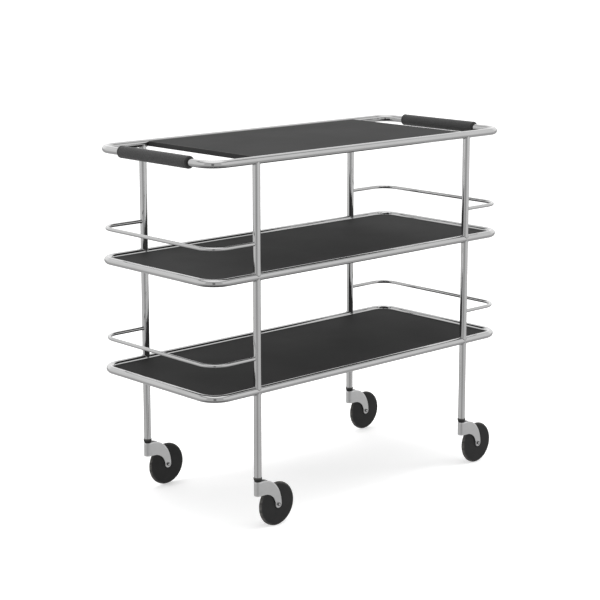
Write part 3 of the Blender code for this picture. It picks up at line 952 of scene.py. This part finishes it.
# --- Panels ----------------------------------------------------------------------------------
@dataclass
class Panels:
    """The three boards with their edge bands, and the tabs and screws that hold them."""

    frame: TubeFrame
    top_corner: float = 0.003
    corner_steps: int = 10
    edge: float = 0.0008
    board_edge: float = 0.3  # the board's own rounding, as a share of the band's
    band: float = 0.0010
    band_overlap: float = 0.03  # how far the band stops short of the board, as a share of its width
    under_set: float = 0.0002  # how far the board's underside is set back inside its band
    worn_width: float = 0.0024
    tab_length: float = 0.020
    tab_reach: float = 0.018
    tab_thickness: float = 0.002
    tab_from_end: float = 0.040
    screw_place: float = 0.62  # along the tab's reach
    gap: float = 0.0003

    def board(self, node: str, corner: float) -> None:
        """Build a board and the band round its edge.

        Args:
            node: The frame node that they stand for.
            corner: The radius of the board's corners in plan.
        """
        low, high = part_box(node)
        half_x, half_y = (high.x - low.x) / 2, (high.y - low.y) / 2
        inner = rounded_rectangle(half_x - self.band, half_y - self.band, corner - self.band * 0.9,
                                  self.corner_steps)
        border = min(self.worn_width, corner - 2 * self.band)
        board = plate(f"{node}_board", inner, low.z + self.under_set, high.z,
                      self.edge * self.board_edge, border)

        def wear(point: Vector) -> float:
            """Give 1 near the board's outline and 0 further in.

            Args:
                point: A point of the board.

            Returns:
                How strongly it is worn.
            """
            past = Vector((abs(point.x) - half_x + corner, abs(point.y) - half_y + corner))
            depth = corner - (past.length if min(past) > 0.0 else max(past))
            return 1.0 if depth < self.band + border * 0.5 else 0.0

        middle = Vector(((low.x + high.x) / 2, 0.0, 0.0))
        put(f"{node}_board", paint(board, wear), LAMINATE, "frame", node, middle)
        outer = rounded_rectangle(half_x, half_y, corner, self.corner_steps)
        name = f"{node}_edge_band"
        ring = self.band_mesh(name, outer, inner, low.z, high.z)
        put(name, ring, EDGE_BAND, "frame", "", middle)

    def band_mesh(self, name: str, outer: list[Point2], inner: list[Point2], low: float,
                  high: float) -> Mesh:
        """Make the band round a board, with its outer edges rounded.

        Args:
            name: The mesh's name.
            outer: The outline of the band's outer face.
            inner: The outline of its inner face.
            low: Its lowest height.
            high: Its highest height.

        Returns:
            The band.
        """
        flat, bend = 1.0 - self.edge / self.band, 1.0 - 0.3 * self.edge / self.band
        half = [(self.band_overlap, 0.0), (flat, 0.0), (bend, 0.3 * self.edge), (1.0, self.edge)]
        profile = [(share, low + rise) for share, rise in half]
        profile += [(share, high - rise) for share, rise in reversed(half)]
        loops = [[Vector((i[0] + (o[0] - i[0]) * share, i[1] + (o[1] - i[1]) * share, height))
                  for o, i in zip(outer, inner)] for share, height in profile]
        return paint(skin(name, loops, ring=True),
                     lambda point: 1.0 if point.z > high - self.edge else 0.0)

    def tab_mesh(self) -> Mesh:
        """Make a welded tab: a strip with a rounded free end, reaching along -Y from its origin.

        Returns:
            The tab.
        """
        half = self.tab_length / 2
        nose = arc((0.0, half - self.tab_reach), (half, half), 0.0, -math.pi, 16)
        outline = [(half, 0.0), (-half, 0.0), *reversed(nose)]
        return plate("panel_tab", outline, -self.tab_thickness, 0.0, 0.0003)

    def screw_mesh(self) -> Mesh:
        """Make a pan-head screw with a recess, seen from below.

        Returns:
            The screw, with its head under its origin.
        """
        head = fillet([(0.0034, 0.0), (0.0034, -0.0012), (0.0010, -0.0021)], 0.0010, 4, False)
        profile = [(NEAR_AXIS, 0.0), *head, (0.0008, -0.0016), (NEAR_AXIS, -0.0014)]
        return turned("panel_screw", profile, 28, ring=False)

    def build_tabs(self, level: Level, node: str, tab: Mesh, screw: Mesh) -> None:
        """Build the tabs under a panel, each with its screw.

        Args:
            level: The panel's level.
            node: The panel's node.
            tab: The tab's mesh.
            screw: The screw's mesh.
        """
        low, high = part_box(node)
        height = low.z - self.gap
        end_x = (high.x - low.x) / 2 - self.tab_from_end
        half_tube = self.frame.tube * 0.5
        side_y, side_x = self.frame.half_width - half_tube, self.frame.half_length - half_tube
        spots = [(x, s * side_y, 0.0 if s > 0 else math.pi)
                 for s in (1, -1) for x in (-end_x, 0.0, end_x)]
        if level is not Level.TOP:
            spots += [(s * side_x, 0.0, -s * QUARTER_TURN) for s in (1, -1)]
        for index, (x, y, angle) in enumerate(spots, 1):
            turn = Matrix.Rotation(angle, 4, "Z")
            base = Vector((x, y, height))
            put(f"{level.value}_tab_{index}", tab, CHROME, "frame", "", base, turn)
            reach = turn @ Vector((0.0, -self.tab_reach * self.screw_place, -self.tab_thickness))
            put(f"{level.value}_tab_screw_{index}", screw, ZINC, "frame", "", base + reach)

    def build(self) -> None:
        """Build the panels and what holds them."""
        shelf_corner = self.frame.corner_radius - self.frame.tube - self.gap
        panels = {
            Level.TOP: ("top_panel", self.top_corner),
            Level.MIDDLE: ("middle_shelf", shelf_corner),
            Level.LOWER: ("lower_shelf", shelf_corner),
        }
        for node, corner in panels.values():
            self.board(node, corner)
        tab, screw = self.tab_mesh(), self.screw_mesh()
        for level, (node, _) in panels.items():
            self.build_tabs(level, node, tab, screw)


# --- Grips -----------------------------------------------------------------------------------
@dataclass
class Grips:
    """The sleeve on each end tube, with a sewn seam underneath and a bound lip at each end."""

    frame: TubeFrame
    fit: float = 0.0002  # the sleeve's bore over the tube
    lip: float = 0.0030
    lip_back: float = 0.0048  # where the lip stops, from the end
    groove: float = 0.0056  # where the groove behind the lip is, from the end
    body_start: float = 0.0065
    swell: float = 0.0004
    seam_depth: float = 0.0007
    seam_width: float = 0.07  # in radians
    skin_depth: float = 0.002  # how far from the bore the outer skin starts, at least
    sides: int = 96
    rings: int = 72
    stitch_pitch: float = 0.0055
    stitch_length: float = 0.0036
    stitch_radius: float = 0.00038
    stitch_sides: int = 8
    stitch_rings: int = 7
    stitch_turn: float = 0.15  # from the seam's middle, in radians

    def sleeve_mesh(self, half: float, outer: float, bore: float) -> Mesh:
        """Make the sleeve about Z, with its seam valley at local -X.

        Args:
            half: Half its length.
            outer: Its outer radius.
            bore: Its bore's radius.

        Returns:
            The sleeve.
        """
        generator = random.Random(3)
        waves = [(generator.uniform(18, 60), generator.uniform(0, 6.28), generator.uniform(0, 6.28))
                 for _ in range(5)]
        lip = fillet([(bore, half), (outer, half), (outer, half - 3 * self.lip)], self.lip, 6, False)
        end = [*lip[:-1], (outer, half - self.lip_back), (outer - 0.0007, half - self.groove)]
        length = 2 * half - 2 * self.body_start
        body = [(outer - 0.0002, half - self.body_start - length * step / self.rings)
                for step in range(1, self.rings)]
        loops: list[Loop] = []
        for radius, height in [*end, *body, *[(r, -z) for r, z in reversed(end)]]:
            outside = 1.0 if radius > bore + self.skin_depth else 0.0
            loop: Loop = []
            for angle in reversed(angles(self.sides)):
                away = abs(math.remainder(angle - math.pi, FULL_TURN))
                inset = outside * self.seam_depth * math.exp(-((away / self.seam_width) ** 2))
                wave = sum(math.sin(height * rate + 2 * math.sin(angle) + phase) * math.cos(angle + turn)
                           for rate, phase, turn in waves) / len(waves)
                grown = radius - inset - self.swell * (0.5 - 0.5 * wave) * outside
                loop.append(Vector((grown * math.cos(angle), grown * math.sin(angle), height)))
            loops.append(loop)
        return skin("grip_sleeve", loops, ring=True)

    def stitch(self, middle: float, around: float, radius: float) -> list[Vector]:
        """Give the points of one short thread run, ring by ring along Z.

        Args:
            middle: The height of its middle.
            around: Its place round the sleeve.
            radius: The radius at which it starts and ends.

        Returns:
            The points.
        """
        outward = Vector((math.cos(around), math.sin(around), 0.0))
        across = Vector((-math.sin(around), math.cos(around), 0.0))
        points: list[Vector] = []
        for place in range(self.stitch_rings):
            t = place / (self.stitch_rings - 1)
            bulge = math.sin(math.pi * t) ** 0.5 if 0 < t < 1 else 0.18
            height = middle + (t - 0.5) * self.stitch_length
            lift = radius + 0.00035 * math.sin(math.pi * t)
            for turn in angles(self.stitch_sides):
                spot = outward * (lift + math.cos(turn) * self.stitch_radius * bulge)
                spot = spot + across * math.sin(turn) * self.stitch_radius * bulge
                points.append(spot + Vector((0.0, 0.0, height)))
        return points

    def stitch_mesh(self, half: float, outer: float) -> Mesh:
        """Make a row of short thread runs on each side of the seam valley.

        Args:
            half: Half the sleeve's length.
            outer: The sleeve's outer radius.

        Returns:
            The stitches of both rows, as small closed bodies in one mesh.
        """
        points: list[Vector] = []
        faces: list[tuple[int, ...]] = []
        sides = self.stitch_sides
        for row in (-1, 1):
            for index in range(int((2 * half - 0.024) / self.stitch_pitch)):
                start = len(points)
                points += self.stitch(-half + 0.014 + index * self.stitch_pitch,
                                      math.pi + row * self.stitch_turn, outer - self.swell - 0.0004)
                for place in range(self.stitch_rings - 1):
                    here, there = start + place * sides, start + (place + 1) * sides
                    for side in range(sides):
                        after = (side + 1) % sides
                        faces.append((here + side, here + after, there + after, there + side))
                faces.append(tuple(reversed(range(start, start + sides))))
                faces.append(tuple(range(len(points) - sides, len(points))))
        return solid("grip_stitches", points, faces, 60.0)

    def build(self) -> None:
        """Build both grips, seam downwards."""
        half = half_of("left_grip")
        sleeve = self.sleeve_mesh(half.y, half.z, self.frame.tube + self.fit)
        stitches = self.stitch_mesh(half.y, half.z)
        down = Matrix.Rotation(-QUARTER_TURN, 4, "X") @ Matrix.Rotation(-QUARTER_TURN, 4, "Z")
        for end in End:
            grip = f"{end.name.lower()}_grip"
            put(f"{grip}_sleeve", sleeve, LEATHER, "frame", grip, middle_of(grip), down)
            put(f"{grip}_stitches", stitches, THREAD, "frame", "", middle_of(grip), down)


# --- Casters ---------------------------------------------------------------------------------
@dataclass
class Casters:
    """The four swivel casters. Meshes are made about the swivel axis, with the floor at 0."""

    sheet: float = 0.002
    sheet_edge: float = 0.00045
    sheet_rows: int = 9
    rubbed_width: float = 0.0012
    shoulder: float = 0.014
    tip: float = 0.009
    stem: float = 0.004
    stem_bore: float = 0.0043
    bolt: float = 0.0025
    bolt_bore: float = 0.0028
    wheel_bore: float = 0.0063
    plug: float = 0.0072
    tread_depth: float = 0.006
    tread_half: float = 0.005
    hub: float = 0.011
    hub_step: float = 0.0006
    hub_slope: float = 0.0009
    dome: float = 0.62  # the share of a quarter turn that the wheel's faces curve through
    # the dark filler in the fork's fold, painted shade: where it starts, its length, its drop under the fork's
    # top edge and its depth
    shade_filler_start: float = 0.0080
    shade_filler_length: float = 0.024
    shade_filler_drop: float = 0.0014
    shade_filler_depth: float = 0.0045
    gap: float = 0.0003

    def __post_init__(self) -> None:
        """Read the caster's sizes from the front left one."""
        fork, wheel = half_of("caster_fork_front_left"), half_of("wheel_front_left")
        hub = middle_of("wheel_front_left")
        self.fork_half = fork.y
        self.fork_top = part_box("caster_fork_front_left")[1].z
        self.wheel_radius, self.hub_half = wheel.z, wheel.y
        self.axle = Vector((hub.x - middle_of("caster_stem_front_left").x, 0.0, hub.z))
        self.barrel_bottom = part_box("caster_stem_front_left")[0].z - self.gap

    def edge_heights(self, x: float) -> tuple[float, float]:
        """Give the fork's lower and upper edge at a place along it.

        Args:
            x: The distance from the swivel axis.

        Returns:
            The heights of the lower and the upper edge.
        """
        if x <= self.shoulder:
            return self.barrel_bottom, self.fork_top
        reach, inner = x - self.shoulder, self.axle.x - self.tip - self.shoulder
        share = min(reach / (self.axle.x + self.tip - self.shoulder), 1.0)
        upper = self.axle.z + (self.fork_top - self.axle.z) * math.sqrt(1.0 - share**2)
        if reach < inner:
            drop = math.sqrt(1.0 - (reach / inner) ** 2)
            return self.axle.z + (self.barrel_bottom - self.axle.z) * drop, upper
        across = min(abs(x - self.axle.x) / self.tip, 1.0)
        return self.axle.z - self.tip * math.sqrt(1.0 - across**2), upper

    def fork_mesh(self) -> Mesh:
        """Make the fork as its maker does: a flat blank, cut to outline and folded round the barrel.

        Returns:
            The folded sheet with rounded edges.
        """
        half, edge, rows = self.sheet / 2, self.sheet_edge, self.sheet_rows
        middle = self.fork_half - half
        quarter = QUARTER_TURN * middle
        notch = self.axle.x - self.tip - self.shoulder
        stops = [self.shoulder * step / 4 for step in range(1, 5)]
        stops += [self.shoulder + notch * math.sin(QUARTER_TURN * step / 12) for step in range(1, 13)]
        stops += [self.axle.x - self.tip * math.cos(math.pi * step / 20) for step in range(1, 20)]
        stops.append(self.axle.x + self.tip * 0.9985)
        blank = [-(quarter + x) for x in reversed(stops)]
        blank += [quarter * step / 10 for step in range(-10, 11)]
        blank += [quarter + x for x in stops]

        def bent(u: float, z: float, off: float) -> Vector:
            """Fold a point of the blank.

            Args:
                u: Its place along the blank, from the fold's middle.
                z: Its height.
                off: How far it is from the sheet's middle, outwards.

            Returns:
                The point on the folded fork.
            """
            if abs(u) <= quarter:
                turn = u / middle
                return Vector((-(middle + off) * math.cos(turn), (middle + off) * math.sin(turn), z))
            return Vector((abs(u) - quarter, math.copysign(middle + off, u), z))

        def section(u: float) -> Loop:
            """Give the blank's rounded section.

            Args:
                u: Its place along the blank.

            Returns:
                The section's points, folded.
            """
            low, high = self.edge_heights(max(abs(u) - quarter, 0.0))
            trim = min(edge, (high - low) * 0.3)
            rise = high - low - 2 * trim
            points = [(low + trim + rise * step / rows, half) for step in range(rows + 1)]
            for sign, start in ((1, high - trim), (-1, low + trim)):
                for side, bends in ((sign, (30, 60, 90)), (-sign, (90, 60, 30))):
                    for turn in map(math.radians, bends):
                        points.append((start + sign * trim * math.sin(turn),
                                       side * (half - edge + edge * math.cos(turn))))
                if sign > 0:
                    points += [(high - trim - rise * step / rows, -half) for step in range(rows + 1)]
            return [bent(u, z, off) for z, off in points]

        def rubbed(point: Vector) -> float:
            """Give 1 at the sheet's edges, falling to 0.

            Args:
                point: A point of the fork.

            Returns:
                How strongly it is rubbed.
            """
            low, high = self.edge_heights(max(point.x, 0.0))
            return 1.0 - min(point.z - low, high - point.z) / self.rubbed_width

        return paint(skin("caster_fork_sheet", [section(u) for u in blank]), rubbed)

    def socket_mesh(self) -> Mesh:
        """Make the plastic socket: the collar that shows under the post, and the plug inside it.

        Returns:
            The socket.
        """
        low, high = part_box("stem_socket_front_left")
        outer = (high.x - low.x) / 2
        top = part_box("lower_post_front_left")[0].z - self.gap
        profile = fillet([
            (self.stem_bore, high.z), (self.plug, high.z), (self.plug, top), (outer, top),
            (outer, top - 0.0034), (outer - 0.0012, low.z + 0.0015), (outer - 0.0022, low.z),
            (self.stem_bore, low.z)], 0.0007, 4)
        return paint(turned("stem_socket_collar", profile, 48),
                     lambda point: 1.0 if point.z > top - 0.001 else 0.0)

    def stem_mesh(self) -> Mesh:
        """Make the steel stem with its riveted head.

        Returns:
            The stem.
        """
        low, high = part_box("caster_stem_front_left")
        head, neck = (high.x - low.x) / 2, low.z + 0.003
        corners = [(NEAR_AXIS, high.z), (self.stem, high.z), (self.stem, neck), (head, neck),
                   (head, low.z), (0.0012, low.z), (NEAR_AXIS, low.z + 0.0006)]
        return turned("caster_stem_pin", fillet(corners, 0.0006, 3, False), 40, ring=False)

    def bush_mesh(self, name: str, outer: float, half: float, bore: float) -> Mesh:
        """Make a plain bush about Z.

        Args:
            name: The mesh's name.
            outer: Its outer radius.
            half: Half its length.
            bore: The radius of its bore.

        Returns:
            The bush, centred on its own middle.
        """
        corners = [(bore, half), (outer, half), (outer, -half), (bore, -half)]
        return paint(turned(name, fillet(corners, 0.0005, 3), 40), lambda point: 0.0)

    def wheel_mesh(self) -> Mesh:
        """Make the wheel about Z: domed faces, a step at the tread and a moulding line round it.

        Returns:
            The wheel.
        """
        radius, half, step_z = self.wheel_radius, self.hub_half, self.hub_half - self.hub_step
        rim, foot = radius - self.tread_depth, self.hub + self.hub_slope
        face = [(self.wheel_bore, step_z), (self.wheel_bore + 0.0006, half), (self.hub - 0.0008, half),
                (self.hub, half - 0.0003), (foot, step_z)]
        low = math.cos(QUARTER_TURN * self.dome)
        for step in range(1, 13):
            share = step / 12
            rise = (math.cos(share * QUARTER_TURN * self.dome) - low) / (1 - low)
            height = self.tread_half + (step_z - self.tread_half) * rise
            face.append((foot + (rim - foot) * share, height))
        tread = arc((rim, 0.0), (self.tread_depth, self.tread_half), QUARTER_TURN, 0.0, 10)[1:-1]
        upper = [*face, *tread, (radius - 0.00012, 0.0005), (radius, 0.00025)]
        profile = [*upper, *[(r, -h) for r, h in reversed(upper)]]
        return paint(turned("wheel_disc", profile, 128),
                     lambda point: (math.hypot(point.x, point.y) - rim - 0.001) / 0.004)

    def bolt_mesh(self) -> Mesh:
        """Make the axle bolt along Z: a low domed head at +Z and a threaded end at -Z.

        Returns:
            The bolt.
        """
        half = half_of("axle_bolt_front_left")
        head, top = half.x, half.y
        face = self.fork_half + self.gap
        brim = face + 0.0008
        dome = [(head * math.sin(a), brim + (top - brim) * math.cos(a))
                for a in (QUARTER_TURN * step / 8 for step in range(1, 9))]
        turns = 16
        thread = [(self.bolt - (0.00030 if step % 2 else 0.0),
                   -top + 0.0002 + 0.0045 * (turns - step) / turns) for step in range(turns)]
        profile = [(NEAR_AXIS, top), *dome, (head, face), (self.bolt, face), *thread,
                   (self.bolt - 0.0004, -top), (NEAR_AXIS, -top)]
        return turned("axle_bolt_body", profile, 36, ring=False)

    def nut_mesh(self) -> Mesh:
        """Make the hexagon nut about Z, its corners turned down and its bore open.

        Returns:
            The nut.
        """
        size = half_of("axle_nut_front_left")
        corner, half = size.z, size.y
        flat = corner * math.cos(math.pi / 6)
        upper = [(self.bolt_bore, half - 0.0003), (0.0031, half), (flat * 0.97, half),
                 (corner, half - 0.0005)]
        sixth = math.pi / 3
        loops: list[Loop] = []
        for reach, height in [*upper, *[(r, -h) for r, h in reversed(upper)]]:
            loop: Loop = []
            for angle in reversed(angles(72)):
                off = math.remainder(angle, sixth)
                radius = min(reach, flat / math.cos(math.remainder(off - sixth / 2, sixth)))
                loop.append(Vector((radius * math.cos(angle), radius * math.sin(angle), height)))
            loops.append(loop)
        return skin("axle_nut_body", loops, ring=True)

    def shade_filler_mesh(self) -> Mesh:
        """Make the dark plastic filler in the fork's fold behind the bush, in local X and Y: painted shade, a
        dark piece set between the cheeks where the fold lies in shade.

        Returns:
            The filler.
        """
        stops = [self.shade_filler_start + self.shade_filler_length * step / 10 for step in range(11)]
        upper = [(x, self.edge_heights(x)[1] - self.shade_filler_drop) for x in stops]
        lower = [(x, z - self.shade_filler_depth * (1.0 - 0.5 * step / 10))
                 for step, (x, z) in enumerate(upper)]
        half = self.fork_half - self.sheet - self.gap
        return plate("fork_gap_shade_filler", [*lower, *reversed(upper)], -half, half, 0.0004)

    def washer_mesh(self) -> Mesh:
        """Make the thin washer that shows round the stem on top of the bush.

        Returns:
            The washer.
        """
        corners = [(0.0044, 0.0002), (0.0066, 0.0002), (0.0066, -0.0002), (0.0044, -0.0002)]
        return turned("stem_washer", fillet(corners, 0.0001, 2), 36)

    def build(self) -> None:
        """Build the four casters."""
        fork, socket, stem, shade_filler = self.fork_mesh(), self.socket_mesh(), self.stem_mesh(), self.shade_filler_mesh()
        wheel, bolt, nut, washer = self.wheel_mesh(), self.bolt_mesh(), self.nut_mesh(), self.washer_mesh()
        size = half_of("swivel_bush_front_left")
        swivel_bush = self.bush_mesh("swivel_bush_ring", size.x, size.z, self.stem_bore)
        size = half_of("wheel_bush_front_left")
        wheel_bush = self.bush_mesh("wheel_bush_ring", size.x, size.y, self.bolt_bore)
        lay, stand = Matrix.Rotation(-QUARTER_TURN, 4, "X"), Matrix.Rotation(QUARTER_TURN, 4, "X")
        for index, corner in enumerate(Corner):
            at = corner.value
            post = middle_of(f"caster_stem_{at}")
            foot = Vector((post.x, post.y, 0.0))
            axle = foot + self.axle
            carrier, roller = f"caster_{at}", f"wheelset_{at}"
            twist = lay @ Matrix.Rotation(0.35 + 0.5 * index, 4, "Z")
            on_top = foot + Vector((0.0, 0.0, self.fork_top + 0.00001))
            for name, mesh, finish, body, node, place, turn in (
                    ("stem_socket_collar", socket, PLASTIC, "frame", "stem_socket", foot, None),
                    ("caster_stem_pin", stem, STEM_STEEL, "frame", "caster_stem", foot, None),
                    ("caster_fork_sheet", fork, SATIN, carrier, "caster_fork", foot, None),
                    ("swivel_bush_ring", swivel_bush, PLASTIC, carrier, "swivel_bush",
                     middle_of(f"swivel_bush_{at}"), None),
                    # a dark filler between the fork's cheeks: painted shade in the fold
                    ("fork_gap_shade_filler", shade_filler, PLASTIC, carrier, "", foot, stand),
                    ("axle_bolt_body", bolt, BOLT_ZINC, carrier, "axle_bolt", axle, lay),
                    ("axle_nut_body", nut, NUT_ZINC, carrier, "axle_nut",
                     middle_of(f"axle_nut_{at}"), twist),
                    ("wheel_disc", wheel, RUBBER, roller, "wheel", axle, lay),
                    ("wheel_bush_ring", wheel_bush, NYLON, roller, "wheel_bush", axle, lay),
                    ("stem_washer", washer, ZINC, carrier, "", on_top, None)):
                put(f"{name}_{at}", mesh, finish, body, f"{node}_{at}" if node else "", place, turn)


# --- Studio ----------------------------------------------------------------------------------
@dataclass(frozen=True)
class Studio:
    """The pale floor, the walls that the chrome mirrors, the soft lights and the camera."""

    camera_place: tuple[float, float, float] = (-2.8516, -3.0320, 1.3838)
    camera_turn: float = -0.7503
    camera_tilt: float = 0.1820
    lens: float = 101.345
    rise: float = -0.0992
    slide: float = -0.0008
    floor_rings: tuple[float, ...] = (0.0, 0.5, 1.0, 2.0, 4.0, 8.0, 16.0, 30.0)
    floor_drop: float = 0.0001
    bay_way: Point2 = (-0.685104, -0.728445)  # the direction of the grey bay from the trolley
    open_wall: float = 1.05  # the brightness behind the trolley, as a camera sees it

    def build_floor(self) -> None:
        """Build the floor as a large flat sheet, which nothing mirrors."""
        loops = [[Vector(((ring + 0.001) * math.cos(a), (ring + 0.001) * math.sin(a),
                          -self.floor_drop)) for a in angles(64)] for ring in self.floor_rings]
        mesh = skin("studio_floor", loops, capped=False)
        floor = bpy.data.objects.new("studio_floor", mesh)
        bpy.context.scene.collection.objects.link(floor)
        mesh.materials.append(FLOOR.material())
        floor.visible_glossy = False

    def build_world(self) -> None:
        """Build the studio's walls: pale all round, with a grey bay and a dark slot on one side."""
        world = bpy.data.worlds.new("studio")
        bpy.context.scene.world = world
        world.use_nodes = True
        nodes = Nodes(world.node_tree)
        both = nodes.combine
        place = nodes.add("ShaderNodeTexCoord").outputs["Generated"]
        x, y, z = nodes.add("ShaderNodeSeparateXYZ", Vector=place).outputs

        def between(value: Socket, low: float, high: float) -> Socket:
            """Rise smoothly from 0 to 1 as a value goes from low to high."""
            return nodes.spread(value, low, high, kind="SMOOTHSTEP")

        flat = both("MAXIMUM", both("SQRT", both("SUBTRACT", 1.0, both("MULTIPLY", z, z))), 0.001)
        along = both("ADD", both("MULTIPLY", x, self.bay_way[0]),
                     both("MULTIPLY", y, self.bay_way[1]))
        toward_bay = both("DIVIDE", along, flat)
        height = both("ABSOLUTE", both("ADD", z, 0.05))
        behind = between(toward_bay, -0.20, -0.65)
        ceiling_ring = both("MULTIPLY", between(z, 0.62, 0.67), between(z, 0.80, 0.76))
        far_wall = both("MULTIPLY", between(z, 0.03, 0.10), between(z, 0.60, 0.50))
        areas = (
            (between(z, -0.02, -0.55), 0.50),  # the walls' lower part
            (both("MULTIPLY", ceiling_ring, between(toward_bay, -0.75, -0.35)), 0.32),
            (between(z, 0.86, 0.93), 1.5),  # the ceiling's middle
            (between(z, -0.66, -0.84), 0.16),  # under the trolley
            (both("MULTIPLY", behind, between(z, 0.03, -0.06)), 0.50),
            (both("MULTIPLY", behind, far_wall), 1.15),
            (both("MULTIPLY", between(toward_bay, 0.66, 0.80), between(height, 0.66, 0.56)), 0.60),
            (both("MULTIPLY", between(toward_bay, 0.990, 0.9960), between(height, 0.52, 0.46)), 0.20),
            (nodes.add("ShaderNodeLightPath").outputs["Is Camera Ray"], self.open_wall),
        )
        level: object = 0.90
        for where, brightness in areas:
            level = nodes.toward(where, level, brightness)
        background = nodes.tree.nodes["Background"]
        nodes.feed(background.inputs["Strength"], level)
        nodes.feed(background.inputs["Color"], (1.0, 1.0, 1.0, 1.0))

    def build_light(self, name: str, place: Vector, size: tuple[float, float], power: float) -> None:
        """Add one soft rectangular light that faces the trolley.

        Args:
            name: The light's name.
            place: Where it hangs.
            size: Its width and height.
            power: Its power in watts.
        """
        data = bpy.data.lights.new(name, "AREA")
        data.shape = "RECTANGLE"
        data.size, data.size_y = size
        data.energy = power
        lamp = bpy.data.objects.new(name, data)
        lamp.location = place
        lamp.rotation_euler = (Vector((0.0, 0.0, 0.5)) - place).to_track_quat("-Z", "Y").to_euler()
        lamp.visible_camera = False
        lamp.visible_glossy = False
        bpy.context.scene.collection.objects.link(lamp)

    def build_camera(self) -> None:
        """Set the camera."""
        data = bpy.data.cameras.new("trolley_camera")
        data.lens = self.lens
        data.sensor_width = 36.0
        data.shift_x, data.shift_y = self.slide, self.rise
        camera = bpy.data.objects.new("trolley_camera", data)
        camera.location = self.camera_place
        camera.rotation_euler = (QUARTER_TURN - self.camera_tilt, 0.0, self.camera_turn)
        bpy.context.scene.collection.objects.link(camera)
        bpy.context.scene.camera = camera

    def build(self) -> None:
        """Build the studio."""
        bpy.context.scene.view_settings.view_transform = "Standard"
        self.build_floor()
        self.build_world()
        self.build_light("overhead_softbox", Vector((0.0, 0.0, 3.4)), (3.0, 2.0), 35.0)
        self.build_light("left_softbox", Vector((-3.4, 1.0, 2.0)), (1.2, 1.8), 30.0)
        self.build_light("right_softbox", Vector((3.0, -2.0, 2.2)), (1.2, 1.8), 25.0)
        self.build_camera()


def main() -> None:
    """Build every sub-assembly in order."""
    logging.basicConfig(level=logging.INFO, format="%(name)s: %(message)s")
    Studio().build()
    LOG.info("studio built")
    tube_frame = TubeFrame()
    for part in (tube_frame, Panels(tube_frame), Grips(tube_frame), Casters()):
        part.build()
        LOG.info("%s built", type(part).__name__)


if __name__ == "__main__":
    main()
